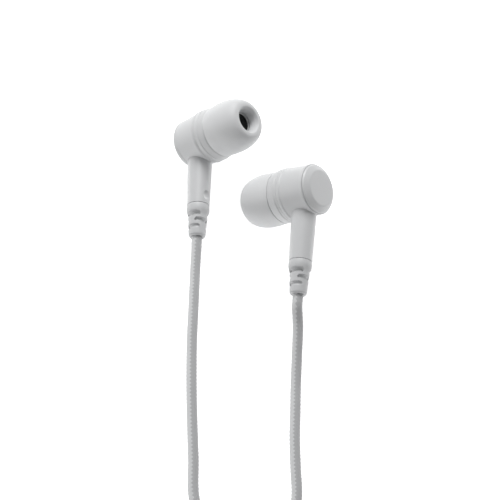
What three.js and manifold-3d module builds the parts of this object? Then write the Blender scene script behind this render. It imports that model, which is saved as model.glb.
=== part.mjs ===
// Wired in-ear earphones lying on a table. Millimetres, +Z up, the table is the plane z = 0.
// Each earbud is built about its own axes: x points out of the ear tip, z runs up the stem.
// The two branch cords join at a splitter, and the rest of the cord is wound into a tied hank.
import * as THREE from 'three';
import { mergeVertices } from 'three/addons/utils/BufferGeometryUtils.js';
import Module from 'manifold-3d';

const wasm = await Module();
wasm.setup();

// ---------------------------------------------------------------- driving dimensions
const gap = 0.3; // clearance between pieces that touch or fit in one another
const roundShell = 24; // facets around the visible shells
const roundInner = 16; // facets around small inner pieces

// Earbud head, measured along x from the axis of the stem
const rearFace = -4.6; // flat outer face of the rear cap
const rearFaceRadius = 4.0;
const capEdge = -3.4; // where the rear cap meets the housing
const capWall = 1.0;
const driverRadius = 4.9;
const shellWall = 0.9;
const headRadius = driverRadius + 0.2 + shellWall; // housing radius at the cap
const frontRadius = headRadius + 0.5; // housing radius at the front edge
const parting = 4.05; // plane between the rear and the front housing
const shoulderEnd = 6.5; // end of the rounded front edge
const neckEnd = 8.4;
const nozzleRadius = 2.6;
const nozzleBore = 2.0;
const nozzleEnd = 13.9;
const lipHeight = 0.3; // bead that holds the ear tip on the nozzle
const lipLength = 0.7;

// Silicone ear tip
const tipRear = 7.5;
const tipRearRadius = 6.3;
const tipBelly = 10.6; // place of the widest radius
const tipRadius = 6.45;
const tipNose = 16.5;
const tipWall = 0.6;
const mouthRadius = 3.0;
const mouthRim = 0.8; // width of the rounded front rim
const neckRadius = tipRearRadius - tipWall - 0.5; // of the housing, inside the rear of the ear tip
const coreWall = 0.7; // wall of the tip's inner tube

// Driver, measured along x from the back of its yoke
const driverBack = 2.7;
const yokeRadius = 3.3;
const yokeWall = 0.5;
const yokeDepth = 2.5;
const magnetLength = 1.0;
const topPlateLength = 0.4;
const coilWall = 0.3;
const coilLength = 1.5;
const diaphragmRadius = neckRadius - 0.8 - gap;
const diaphragmThickness = 0.25;
const diaphragmDome = 0.35;
const frameWall = 0.8;
const boardRadius = 3.4;
const boardThickness = 0.6;

// Stem and strain relief, measured down from the axis of the head
const stemTopRadius = 3.0;
const stemRadius = 2.72; // at its lower end
const stemLength = 17.6;
const stemBore = 1.9;
const tenonWall = 0.45; // spigot that goes through the housing wall
const tenonTop = headRadius - shellWall - 0.1;
const dimpleHeight = 2.1; // above the lower end of the stem
const dimpleSphere = 2.0;
const dimpleDepth = 0.33;
const collarRadius = 2.75;
const collarLength = 2.1;
const reliefTopRadius = 2.3;
const reliefEndRadius = 2.05;
const reliefLength = 7.9;
const reliefBore = 1.2;
const reliefTenon = 3.0;
const slotLevels = 3;
const slotHeight = 0.8;
const slotPitch = 1.63;
const slotWall = 0.35; // left around the bore behind each slot
const knotLength = 2.2;

// Cords
const branchRadius = 1.25;
const mainRadius = 1.4;
const innerCordRadius = 0.9; // the cord without its braid, inside the strain relief
const cordSides = 8;
const pairSpacing = 3.4; // between the two branch cords in the slider and the splitter
const pairHeight = 2.4; // of the cord axes above the table in the slider

// Hank: a racetrack coil held by a flat band around its middle
const hankCentre = new THREE.Vector3(0, -168, 1.1);
const hankRun = 48; // straight stretch between the two bends
const hankInner = 8.2;
const hankOuter = 16.8;
const hankHeight = 7.5;
const tieWidth = 8;
const tieThickness = 0.8;
const tieCorner = 0.3; // inner corner

// Slider and splitter
const pairStart = -95.5; // where the two cords have come together
const pairStraight = -99; // they run straight from here, so that the slider can travel
const sliderY = -118;
const sliderLength = 11;
const sliderWall = 0.75;
const splitterLength = 24;
const splitterWidth = 7.6;
const splitterHeight = 5.0;
const clampLength = 8;
const clampWidth = 4.4;
const clampHeight = 2.4;
const boreDepth = 6.5; // how far each cord reaches into the splitter

// Plug: a 3.5 mm stereo plug, measured along y from the cord end
const plugX = -22.6;
const plugStart = -187;
const plugReliefLength = 12;
const plugReliefRadius = 2.4;
const barrelRadius = 3.5;
const barrelLength = 13;
const barrelWall = 0.9;
const shaftRadius = 1.75;
const shaftBore = 1.15;
const sleeveLength = 6.0;
const ringLength = 1.9;
const flangeLength = 0.6;
const tipContactLength = 4.0;

// Where each earbud lies. heading turns the stem about z, slope lifts the head end of the stem off
// the table, and turn rolls the earbud about its stem.
const degrees = Math.PI / 180;
const buds = [
  { side: 'left', place: [-12.5, 19.4, 6.95], heading: 1.6, slope: 9.5, turn: 44.7 },
  { side: 'right', place: [12.5, -0.7, 13.75], heading: 4.7, slope: 12.6, turn: -141.5 },
];

// ---------------------------------------------------------------- materials
const material = (color, roughness, metalness = 0) =>
  new THREE.MeshStandardMaterial({ color, roughness, metalness });
const shellPlastic = material(0xc9cacb, 0.45);
const stemPlastic = material(0xc4c5c6, 0.3);
const silicone = material(0xcfd0d1, 0.55);
const rubber = material(0xbfc0c1, 0.6);
const braid = material(0xb4b5b6, 0.85);
const meshBlack = material(0x141414, 0.6);
const steel = material(0x9a9a98, 0.35, 1);
const magnetGrey = material(0x77787a, 0.3, 1);
const copper = material(0xb5673c, 0.35, 1);
const amberFilm = material(0xb98a45, 0.3);
const framePlastic = material(0x2b2c2e, 0.5);
const boardGreen = material(0x1f5a3a, 0.5);
const foamBlack = material(0x222222, 0.9);
const gold = material(0xd4a951, 0.25, 1);
const insulatorBlack = material(0x1a1a1a, 0.5);

// ---------------------------------------------------------------- geometry helpers
const axisTurns = {
  x: (geometry) => geometry.rotateZ(-Math.PI / 2),
  y: (geometry) => geometry,
  z: (geometry) => geometry.rotateX(Math.PI / 2),
};

// Body of revolution from [place along the axis, radius] pairs. An outline that starts and ends on
// the axis is solid, and any other outline is closed into a ring.
function revolve(axis, outline, facets = roundInner) {
  const points = outline.map(([along, radius]) => new THREE.Vector2(radius, along));
  if (THREE.ShapeUtils.isClockWise(points)) points.reverse();
  const onAxis = points[0].x === 0 && points[points.length - 1].x === 0;
  if (!onAxis) points.push(points[0].clone());
  return axisTurns[axis](new THREE.LatheGeometry(points, facets));
}

// Quarter of an ellipse as [along, radius] pairs, from the first corner to the second one
function quarter([along0, radius0], [along1, radius1], steps, startsFlat) {
  const points = [];
  for (let i = 1; i <= steps; i += 1) {
    const angle = ((i / steps) * Math.PI) / 2;
    const slow = 1 - Math.cos(angle);
    const fast = Math.sin(angle);
    const [u, v] = startsFlat ? [fast, slow] : [slow, fast];
    points.push([along0 + (along1 - along0) * u, radius0 + (radius1 - radius0) * v]);
  }
  return points;
}

const cylinder = (axis, radiusLow, radiusHigh, low, high, facets = roundInner) =>
  revolve(axis, [[low, 0], [low, radiusLow], [high, radiusHigh], [high, 0]], facets);
const tube = (axis, outer, inner, low, high, facets = roundInner) =>
  revolve(axis, [[low, inner], [low, outer], [high, outer], [high, inner]], facets);

// Solid for cutting and joining: shared vertices merged, triangles of no area dropped
function toSolid(geometry) {
  const bare = geometry.clone();
  bare.deleteAttribute('normal');
  bare.deleteAttribute('uv');
  const merged = mergeVertices(bare, 1e-4);
  const index = merged.index.array;
  const kept = [];
  for (let i = 0; i < index.length; i += 3) {
    const [a, b, c] = [index[i], index[i + 1], index[i + 2]];
    if (a !== b && b !== c && c !== a) kept.push(a, b, c);
  }
  return new wasm.Manifold(
    new wasm.Mesh({
      numProp: 3,
      vertProperties: new Float32Array(merged.attributes.position.array),
      triVerts: new Uint32Array(kept),
    }),
  );
}

function toGeometry(solid) {
  const mesh = solid.getMesh();
  const geometry = new THREE.BufferGeometry();
  geometry.setAttribute('position', new THREE.BufferAttribute(mesh.vertProperties, 3));
  geometry.setIndex(new THREE.BufferAttribute(mesh.triVerts, 1));
  return geometry;
}

const cut = (geometry, ...tools) =>
  toGeometry(tools.reduce((solid, tool) => solid.subtract(toSolid(tool)), toSolid(geometry)));
const join = (geometry, ...others) =>
  toGeometry(others.reduce((solid, other) => solid.add(toSolid(other)), toSolid(geometry)));

function roundedRectangle(width, height, corner) {
  const [w, h] = [width / 2, height / 2];
  const shape = new THREE.Shape();
  shape.absarc(w - corner, h - corner, corner, 0, Math.PI / 2);
  shape.absarc(-w + corner, h - corner, corner, Math.PI / 2, Math.PI);
  shape.absarc(-w + corner, -h + corner, corner, Math.PI, Math.PI * 1.5);
  shape.absarc(w - corner, -h + corner, corner, Math.PI * 1.5, Math.PI * 2);
  shape.closePath();
  return shape;
}

// Bar along y with a section in x and z, centred on the origin
function barAlongY(shape, length, curveSegments = 4) {
  const geometry = new THREE.ExtrudeGeometry(shape, { depth: length, bevelEnabled: false, curveSegments });
  return geometry.translate(0, 0, -length / 2).rotateX(Math.PI / 2);
}

// Racetrack outline about the origin, with its straight stretch along y
function racetrack(PathClass, radius, run) {
  const path = new PathClass();
  path.absarc(0, run / 2, radius, 0, Math.PI);
  path.absarc(0, -run / 2, radius, Math.PI, Math.PI * 2);
  path.closePath();
  return path;
}

// Cord along a smooth curve through the given points
function cordAlong(points, radius, steps) {
  const section = new THREE.Shape();
  for (let i = 0; i < cordSides; i += 1) {
    const angle = (i * 2 * Math.PI) / cordSides;
    section[i ? 'lineTo' : 'moveTo'](radius * Math.cos(angle), radius * Math.sin(angle));
  }
  section.closePath();
  const extrudePath = new THREE.CatmullRomCurve3(points, false, 'centripetal');
  return new THREE.ExtrudeGeometry(section, { steps, extrudePath, bevelEnabled: false });
}

const object = new THREE.Group();

function addMesh(parent, name, geometry, look, place = [0, 0, 0]) {
  const mesh = new THREE.Mesh(geometry, look);
  mesh.name = name;
  mesh.position.set(...place);
  parent.add(mesh);
  return mesh;
}

// ---------------------------------------------------------------- earbud shells
// Rear cap: a flat disc with a rounded edge and a skirt that locates it in the housing
function rearCap() {
  const skirtRadius = headRadius - shellWall - gap;
  const skirtEnd = -(stemBore + tenonWall + gap); // just clear of the spigot of the stem
  return revolve('x', [
    [rearFace, 0],
    [rearFace, rearFaceRadius],
    ...quarter([rearFace, rearFaceRadius], [capEdge, headRadius], 4, false),
    [capEdge, skirtRadius],
    [skirtEnd, skirtRadius],
    [skirtEnd, skirtRadius - 0.7],
    [rearFace + capWall, skirtRadius - 1.2],
    [rearFace + capWall, 0],
  ], roundShell);
}

const housingRear = capEdge + gap;
const housingFront = parting - gap / 2;

// Rear housing: a barrel with a round hole below for the spigot of the stem
function rearHousing() {
  const bevel = 0.25;
  const barrel = revolve('x', [
    [housingRear, headRadius - shellWall],
    [housingRear, headRadius - bevel],
    [housingRear + bevel, headRadius],
    [housingFront - bevel, frontRadius],
    [housingFront, frontRadius - bevel / 2],
    [housingFront, frontRadius - shellWall],
  ], roundShell);
  const spigotHole = stemBore + tenonWall + gap;
  return cut(barrel, cylinder('z', spigotHole, spigotHole, -frontRadius - 1, -tenonTop + 1));
}

// Front housing: the rounded front edge, the neck inside the ear tip, and the nozzle
function frontHousing() {
  const start = parting + gap / 2;
  const lip = nozzleRadius + lipHeight;
  const seat = nozzleBore + 0.4;
  return revolve('x', [
    [start, frontRadius - 0.1],
    ...quarter([start, frontRadius - 0.1], [shoulderEnd, neckRadius], 5, true),
    [neckEnd - 0.8, neckRadius],
    ...quarter([neckEnd - 0.8, neckRadius], [neckEnd, neckRadius - 0.8], 2, true),
    [neckEnd, nozzleRadius],
    [nozzleEnd - lipLength, nozzleRadius],
    [nozzleEnd - lipLength, lip],
    [nozzleEnd - 0.1, lip],
    [nozzleEnd, lip - 0.15],
    [nozzleEnd, seat],
    [nozzleEnd - lipLength, seat],
    [nozzleEnd - lipLength, nozzleBore],
    [neckEnd - 0.2, nozzleBore],
    [neckEnd - 1.0, neckRadius - 0.8],
    [shoulderEnd - 0.5, neckRadius - 0.8],
    [shoulderEnd - 0.5, driverRadius + gap],
    [start, driverRadius + gap],
  ], roundShell);
}

const nozzleMesh = () => {
  const back = nozzleEnd - lipLength + gap;
  const radius = nozzleBore + 0.4 - gap;
  return cylinder('x', radius, radius, back, back + 0.25, roundInner);
};

// Ear tip: a domed skirt open at the rear, with a tube that grips the nozzle
function earTip() {
  const grip = nozzleRadius + lipHeight + gap;
  const core = grip + coreWall;
  const noseRadius = mouthRadius + mouthRim;
  const innerNose = tipNose - 2.6;
  return revolve('x', [
    [tipRear, tipRearRadius],
    [tipBelly, tipRadius],
    ...quarter([tipBelly, tipRadius], [tipNose, noseRadius], 7, true),
    [tipNose, mouthRadius + mouthRim / 2],
    [tipNose - mouthRim / 2, mouthRadius],
    [nozzleEnd + gap, mouthRadius],
    [nozzleEnd + gap, grip],
    [neckEnd + gap, grip],
    [neckEnd + gap, core],
    [innerNose - 0.8, core],
    [innerNose + 0.4, core + 0.5],
    ...quarter([innerNose + 0.4, core + 0.5], [tipBelly, tipRadius - tipWall], 4, false),
    [tipRear, tipRearRadius - tipWall],
  ], roundShell);
}

// ---------------------------------------------------------------- stem and strain relief
// Stem: a tapered tube whose top is cut to the round of the housing, with a spigot above it and a
// finger dimple on the side of the ear tip
function stem() {
  const reach = 12; // half length of the tool that cuts the saddle
  const spread = (frontRadius - headRadius) / (housingFront - housingRear);
  const radiusAt = (x) => headRadius + spread * (x - housingRear) + gap;
  const saddle = cylinder('x', radiusAt(-reach), radiusAt(reach), -reach, reach, roundShell);
  const lower = -stemLength;
  const upper = -tenonTop;
  const outside = cylinder('z', stemRadius, stemTopRadius, lower, upper, roundShell);
  const dimple = new THREE.SphereGeometry(dimpleSphere, 20, 14);
  dimple.translate(stemRadius + dimpleSphere - dimpleDepth, 0, lower + dimpleHeight);
  const spigotRadius = stemBore + tenonWall;
  const spigot = cylinder('z', spigotRadius, spigotRadius, lower + 2, upper, roundShell);
  const bore = cylinder('z', stemBore, stemBore, lower - 1, upper + 1, roundInner);
  return cut(join(cut(outside, saddle, dimple), spigot), bore);
}

// Strain relief: a collar, then a tapered sleeve with levels of paired slots, each a quarter turn on
function strainRelief() {
  const top = -stemLength - gap;
  const collarEnd = top - collarLength;
  const bottom = top - reliefLength;
  const tenonRadius = stemBore - gap;
  const sleeve = revolve('z', [
    [top + reliefTenon, reliefBore],
    [top + reliefTenon, tenonRadius],
    [top, tenonRadius],
    [top, collarRadius - 0.1],
    [top - 0.25, collarRadius],
    [collarEnd + 0.3, collarRadius - 0.05],
    [collarEnd, reliefTopRadius],
    [bottom + 0.3, reliefEndRadius],
    [bottom, reliefEndRadius - 0.25],
    [bottom, reliefBore],
  ], roundShell);
  const slots = [];
  for (let level = 0; level < slotLevels; level += 1) {
    const height = collarEnd - slotHeight / 2 - level * slotPitch;
    for (const half of [0, 1]) {
      const slot = new THREE.BoxGeometry(3, 8, slotHeight);
      slot.translate(1.5 + reliefBore + slotWall, 0, height);
      slot.rotateZ(half * Math.PI + ((level + 1) % 2) * (Math.PI / 2));
      slots.push(slot);
    }
  }
  return cut(sleeve, ...slots);
}

const reliefEnd = -stemLength - gap - reliefLength;

// Inner end of the cord: bare of braid in the strain relief, knotted above it in the stem
function innerCord() {
  const knotFoot = -stemLength - gap + reliefTenon + gap;
  const knotRadius = stemBore - gap;
  return revolve('z', [
    [reliefEnd + 0.1, 0],
    [reliefEnd + 0.1, innerCordRadius],
    [knotFoot, innerCordRadius],
    ...quarter([knotFoot, innerCordRadius], [knotFoot + knotLength / 2, knotRadius], 3, false),
    ...quarter([knotFoot + knotLength / 2, knotRadius], [knotFoot + knotLength, 0.6], 3, true),
    [-tenonTop - 2, 0.6],
    [-tenonTop - 2, 0],
  ]);
}

// ---------------------------------------------------------------- driver
const magnetRadius = yokeRadius - yokeWall - gap - coilWall - gap;
const magnetStart = driverBack + yokeWall + gap;
const topPlateStart = magnetStart + magnetLength + gap;
const yokeFront = driverBack + yokeDepth;
const frameFront = driverBack + 2.9;
const diaphragmBack = frameFront + gap;

const yoke = () => revolve('x', [
  [driverBack, 0],
  [driverBack, yokeRadius],
  [yokeFront, yokeRadius],
  [yokeFront, yokeRadius - yokeWall],
  [driverBack + yokeWall, yokeRadius - yokeWall],
  [driverBack + yokeWall, 0],
]);
const magnet = () =>
  cylinder('x', magnetRadius, magnetRadius, magnetStart, magnetStart + magnetLength);
const topPlate = () =>
  cylinder('x', magnetRadius, magnetRadius, topPlateStart, topPlateStart + topPlateLength);
const voiceCoil = () => {
  const inner = magnetRadius + gap;
  return tube('x', inner + coilWall, inner, diaphragmBack - gap - coilLength, diaphragmBack - gap);
};
const diaphragm = () => {
  const front = diaphragmBack + diaphragmThickness;
  return revolve('x', [
    [diaphragmBack + diaphragmDome, 0],
    [diaphragmBack + 0.8 * diaphragmDome, 1.3],
    [diaphragmBack, 2.3],
    [diaphragmBack, diaphragmRadius],
    [front, diaphragmRadius],
    [front, 2.3],
    [front + 0.8 * diaphragmDome, 1.3],
    [front + diaphragmDome, 0],
  ]);
};
const driverFrame = () => revolve('x', [
  [driverBack + 0.2, yokeRadius + gap],
  [driverBack + 0.2, driverRadius],
  [frameFront, driverRadius],
  [frameFront, diaphragmRadius],
  [frameFront - 0.6, driverRadius - frameWall],
  [frameFront - 0.6, yokeRadius + gap],
], roundShell);
const frontGasket = () => {
  const back = diaphragmBack + diaphragmThickness + gap + 0.2;
  return tube('x', diaphragmRadius, diaphragmRadius - 1, back, back + 0.3);
};
const terminalBoard = () => {
  const front = driverBack - gap;
  return cylinder('x', boardRadius, boardRadius, front - boardThickness, front);
};

// ---------------------------------------------------------------- earbud assembly
const budPieces = [
  ['ear_tip', earTip, silicone],
  ['nozzle_mesh', nozzleMesh, meshBlack],
  ['front_housing', frontHousing, shellPlastic],
  ['rear_housing', rearHousing, shellPlastic],
  ['rear_cap', rearCap, shellPlastic],
  ['stem', stem, stemPlastic],
  ['strain_relief', strainRelief, rubber],
  ['inner_cord', innerCord, rubber],
  ['driver_frame', driverFrame, framePlastic],
  ['driver_yoke', yoke, steel],
  ['driver_magnet', magnet, magnetGrey],
  ['driver_top_plate', topPlate, steel],
  ['voice_coil', voiceCoil, copper],
  ['diaphragm', diaphragm, amberFilm],
  ['front_gasket', frontGasket, foamBlack],
  ['terminal_board', terminalBoard, boardGreen],
];

const cordStarts = {};
for (const { side, place, heading, slope, turn } of buds) {
  const placed = new THREE.Group();
  placed.position.set(...place);
  placed.rotation.z = -heading * degrees;
  const tilted = new THREE.Group();
  tilted.rotation.x = (slope - 90) * degrees;
  const rolled = new THREE.Group();
  rolled.rotation.z = -turn * degrees;
  for (const [name, shape, look] of budPieces) addMesh(rolled, `${side}_${name}`, shape(), look);
  tilted.add(rolled);
  placed.add(tilted);
  object.add(placed);
  object.updateMatrixWorld(true);
  cordStarts[side] = [gap, 2.5].map((d) => rolled.localToWorld(new THREE.Vector3(0, 0, reliefEnd - d)));
}

// ---------------------------------------------------------------- branch cords
const hankTop = hankCentre.y + hankRun / 2 + hankOuter;
const pairX = pairSpacing / 2;
const points = (list) => list.map(([x, y, z]) => new THREE.Vector3(x, y, z));
const pairEnd = (x) => {
  const reachY = Math.sqrt((hankOuter + gap) ** 2 - (Math.abs(x) + branchRadius) ** 2);
  const wall = hankCentre.y + hankRun / 2 + Math.max(reachY, hankOuter + gap);
  return points([pairStart, pairStraight, sliderY, wall].map((y) => [x, y, pairHeight]));
};
const leftRoute = points([
  [-13.5, -13.4, 1.5],
  [-13.6, -17.4, 1.3],
  [-13.8, -25.6, 1.3],
  [-14.0, -34.3, 1.3],
  [-13.9, -46.3, 1.3],
  [-13.6, -55.4, 1.3],
  [-13.2, -64.5, 1.3],
  [-12.8, -74.9, 1.3],
  [-9.8, -83.4, 1.3],
  [-4.6, -90.4, 1.8],
]);
const rightRoute = points([
  [10.4, -32.5, 5.0],
  [10.1, -39.4, 2.6],
  [9.8, -45.9, 1.4],
  [9.6, -52.9, 1.3],
  [9.4, -59.4, 1.3],
  [9.5, -66.8, 1.3],
  [9.6, -74.9, 1.3],
  [7.5, -83.4, 1.3],
  [3.4, -90.4, 1.8],
]);
const leftCord = [...cordStarts.left, ...leftRoute, ...pairEnd(-pairX)];
const rightCord = [...cordStarts.right, ...rightRoute, ...pairEnd(pairX)];
addMesh(object, 'left_cord', cordAlong(leftCord, branchRadius, 36), braid);
addMesh(object, 'right_cord', cordAlong(rightCord, branchRadius, 32), braid);

// ---------------------------------------------------------------- slider
const cordBore = branchRadius + gap;
const sliderWidth = pairSpacing + 2 * (cordBore + sliderWall);
const sliderHeight = 2 * (cordBore + sliderWall);
const sliderBody = barAlongY(roundedRectangle(sliderWidth, sliderHeight, sliderHeight * 0.42), sliderLength);
const sliderBores = [-pairX, pairX].map((x) =>
  cylinder('y', cordBore, cordBore, -sliderLength, sliderLength).translate(x, 0, 0),
);
addMesh(object, 'cable_slider', cut(sliderBody, ...sliderBores), rubber, [0, sliderY, pairHeight]);

// ---------------------------------------------------------------- hank and its tie
const hankShape = racetrack(THREE.Shape, hankOuter, hankRun);
hankShape.holes.push(racetrack(THREE.Path, hankInner, hankRun));
const hank = new THREE.ExtrudeGeometry(hankShape, {
  depth: hankHeight, bevelEnabled: false, curveSegments: 14,
});
addMesh(object, 'cord_hank', hank, braid, hankCentre.toArray());

const tieInner = [2 * (hankOuter + gap), hankHeight + 2 * gap];
const tieOuter = tieInner.map((side) => side + 2 * tieThickness);
const tieShape = roundedRectangle(...tieOuter, tieCorner + tieThickness);
tieShape.holes.push(roundedRectangle(...tieInner, tieCorner));
const tieHeight = hankCentre.z + hankHeight / 2;
addMesh(object, 'hank_tie', barAlongY(tieShape, tieWidth, 5), rubber, [0, hankCentre.y, tieHeight]);

// ---------------------------------------------------------------- splitter in the middle of the hank
const splitterZ = hankCentre.z + splitterHeight / 2;
const splitterPlace = [0, hankCentre.y, splitterZ];
const halfLength = splitterLength / 2;
const mainBore = mainRadius + gap;
function splitterShell(upper) {
  const body = barAlongY(roundedRectangle(splitterWidth, splitterHeight, 2), splitterLength);
  const bores = [-pairX, pairX].map((x) =>
    cylinder('y', cordBore, cordBore, 0, splitterLength).translate(x, 0, 0),
  );
  const mainHole = cylinder('y', mainBore, mainBore, -splitterLength, 0);
  const pocket = new THREE.BoxGeometry(clampWidth + 2 * gap, clampLength + 2 * gap, clampHeight + 2 * gap);
  const otherHalf = new THREE.BoxGeometry(20, splitterLength * 2, 10);
  otherHalf.translate(0, 0, (upper ? -1 : 1) * (5 - gap / 2));
  return cut(body, ...bores, mainHole, pocket, otherHalf);
}
addMesh(object, 'splitter_lower_shell', splitterShell(false), rubber, splitterPlace);
addMesh(object, 'splitter_upper_shell', splitterShell(true), rubber, splitterPlace);
const clamp = new THREE.BoxGeometry(clampWidth, clampLength, clampHeight);
addMesh(object, 'splitter_clamp', clamp, framePlastic, splitterPlace);

const holeEnd = hankRun / 2 + hankInner - gap;
const cordEnd = (x, inside, outside) => points([[x, inside, 0], [x, (inside + outside) / 2, 0], [x, outside, 0]]);
const branchReach = hankRun / 2 + Math.sqrt((hankInner - gap) ** 2 - (pairX + branchRadius) ** 2);
for (const [side, x] of [['left', -pairX], ['right', pairX]]) {
  const route = cordEnd(x, halfLength - boreDepth, branchReach);
  addMesh(object, `${side}_cord_end`, cordAlong(route, branchRadius, 4), braid, splitterPlace);
}
const mainReach = hankRun / 2 + Math.sqrt((hankInner - gap) ** 2 - mainRadius ** 2);
const mainEnd = cordEnd(0, -(halfLength - boreDepth), -mainReach);
addMesh(object, 'main_cord_end', cordAlong(mainEnd, mainRadius, 4), braid, splitterPlace);

// ---------------------------------------------------------------- main cord to the plug
const plugZ = barrelRadius + 0.1;
const tailStart = hankCentre.y - hankRun / 2 - 0.72 * (hankOuter + gap + 0.4);
const tailX = -0.72 * (hankOuter + gap + 0.4);
const plugTail = points([
  [tailX, tailStart, 2.6],
  [tailX - 2.4, tailStart - 2.0, 2.4],
  [-18.4, -207.0, 2.2],
  [-22.0, -203.6, 2.2],
  [plugX, -197.0, 3.0],
  [plugX, plugStart - 3, plugZ],
  [plugX, plugStart - gap, plugZ],
]);
addMesh(object, 'plug_cord', cordAlong(plugTail, mainRadius, 14), braid);

const plug = new THREE.Group();
plug.position.set(plugX, plugStart, plugZ);
object.add(plug);
const barrelStart = plugReliefLength + gap;
const barrelEnd = barrelStart + barrelLength;
const plugTenon = 2.5;
addMesh(plug, 'plug_strain_relief', revolve('y', [
  [0, 0],
  [0, plugReliefRadius - 0.6],
  [plugReliefLength, plugReliefRadius],
  [plugReliefLength, plugReliefRadius - 0.4],
  [plugReliefLength + plugTenon, plugReliefRadius - 0.4],
  [plugReliefLength + plugTenon, 0],
], roundShell), rubber);
addMesh(plug, 'plug_barrel', revolve('y', [
  [barrelStart, plugReliefRadius - 0.4 + gap],
  [barrelStart, barrelRadius - 0.5],
  [barrelStart + 0.5, barrelRadius],
  [barrelEnd - 0.4, barrelRadius],
  [barrelEnd, barrelRadius - 0.4],
  [barrelEnd, shaftBore],
  [barrelEnd - barrelWall, shaftBore],
  [barrelEnd - barrelWall, barrelRadius - barrelWall],
  [barrelStart + barrelWall, barrelRadius - barrelWall],
  [barrelStart + barrelWall, plugReliefRadius - 0.4 + gap],
], roundShell), stemPlastic);
const blockStart = plugReliefLength + plugTenon + gap;
const coreRadius = shaftBore - gap;
const blockEnd = barrelEnd - barrelWall - 3;
addMesh(plug, 'plug_terminal_block', cylinder('y', 2, 2, blockStart, blockEnd), framePlastic);

const sleeveStart = barrelEnd + gap;
const sleeveEnd = sleeveStart + sleeveLength;
const ringStart = sleeveEnd + 2 * gap + flangeLength;
const ringEnd = ringStart + ringLength;
const coreEnd = ringEnd + gap + flangeLength;
const tipStart = coreEnd + gap;
addMesh(plug, 'plug_insulator', revolve('y', [
  [blockEnd + gap, 0],
  [blockEnd + gap, coreRadius],
  [sleeveEnd + gap, coreRadius],
  [sleeveEnd + gap, shaftRadius],
  [sleeveEnd + gap + flangeLength, shaftRadius],
  [sleeveEnd + gap + flangeLength, coreRadius],
  [ringEnd + gap, coreRadius],
  [ringEnd + gap, shaftRadius],
  [coreEnd, shaftRadius],
  [coreEnd, 0],
]), insulatorBlack);
addMesh(plug, 'plug_sleeve_contact', tube('y', shaftRadius, shaftBore, sleeveStart, sleeveEnd), gold);
addMesh(plug, 'plug_ring_contact', tube('y', shaftRadius, shaftBore, ringStart, ringEnd), gold);
addMesh(plug, 'plug_tip_contact', revolve('y', [
  [tipStart, 0],
  [tipStart, shaftRadius],
  [tipStart + 0.3 * tipContactLength, shaftRadius * 0.68],
  [tipStart + 0.5 * tipContactLength, shaftRadius * 0.95],
  [tipStart + 0.95 * tipContactLength, shaftRadius * 0.3],
  [tipStart + tipContactLength, 0],
]), gold);

export default object;
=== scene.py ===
from math import cos, pi, radians, sin, sqrt, tan

import bmesh
import bpy
import numpy as np
from mathutils import Matrix, Vector


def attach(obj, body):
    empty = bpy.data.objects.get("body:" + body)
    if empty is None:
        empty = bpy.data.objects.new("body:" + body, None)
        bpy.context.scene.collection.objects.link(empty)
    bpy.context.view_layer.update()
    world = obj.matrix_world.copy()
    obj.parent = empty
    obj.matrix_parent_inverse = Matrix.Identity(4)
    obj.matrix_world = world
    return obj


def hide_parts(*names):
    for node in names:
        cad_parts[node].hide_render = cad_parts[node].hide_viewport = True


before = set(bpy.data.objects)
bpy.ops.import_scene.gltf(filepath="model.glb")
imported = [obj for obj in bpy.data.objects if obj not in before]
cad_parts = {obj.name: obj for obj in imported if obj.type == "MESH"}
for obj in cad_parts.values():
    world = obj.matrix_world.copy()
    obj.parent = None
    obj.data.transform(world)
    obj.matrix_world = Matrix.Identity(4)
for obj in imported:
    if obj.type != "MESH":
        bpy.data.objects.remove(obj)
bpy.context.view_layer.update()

# ---------------------------------------------------------------- camera, table and light
# The earphones lie on a pale studio table under a large soft light. The camera looks down
# at them from the cord side. Sizes in this file are in millimetres unless they say otherwise.
mm = 0.001

look_at = Vector((-0.6, -7.9, 0.0)) * mm
camera_distance = 500 * mm
camera_elevation = radians(56)
camera_data = bpy.data.cameras.new("camera")
camera_data.lens = 151.2
camera_data.sensor_width = 36
camera = bpy.data.objects.new("camera", camera_data)
camera.location = look_at + camera_distance * Vector((0, -cos(camera_elevation), sin(camera_elevation)))
camera.rotation_euler = (pi / 2 - camera_elevation, 0, 0)
bpy.context.collection.objects.link(camera)
scene = bpy.context.scene
scene.camera = camera
scene.view_settings.view_transform = "Standard"


def colour(code):
    """Linear colour that a shader takes, from an sRGB hex code."""
    channels = [int(code[i:i + 2], 16) / 255 for i in (0, 2, 4)]
    return [c / 12.92 if c <= 0.04045 else ((c + 0.055) / 1.055) ** 2.4 for c in channels] + [1.0]


def add_node(tree, kind, values=None, links=None, **settings):
    """Adds a node: values go into its inputs, links join other nodes' outputs to them."""
    node = tree.nodes.new(kind)
    for name, value in settings.items():
        setattr(node, name, value)
    for key, value in (values or {}).items():
        node.inputs[key].default_value = value
    for key, output in (links or {}).items():
        tree.links.new(output, node.inputs[key])
    return node


def start_material(name, **values):
    """New material with the given values on its shader's own sockets."""
    material = bpy.data.materials.new(name)
    material.use_nodes = True
    tree = material.node_tree
    tree.nodes.clear()
    sockets = {key.replace("_", " "): value for key, value in values.items()}
    shader = add_node(tree, "ShaderNodeBsdfPrincipled", sockets)
    add_node(tree, "ShaderNodeOutputMaterial", links={"Surface": shader.outputs[0]})
    return material, tree, shader


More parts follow.
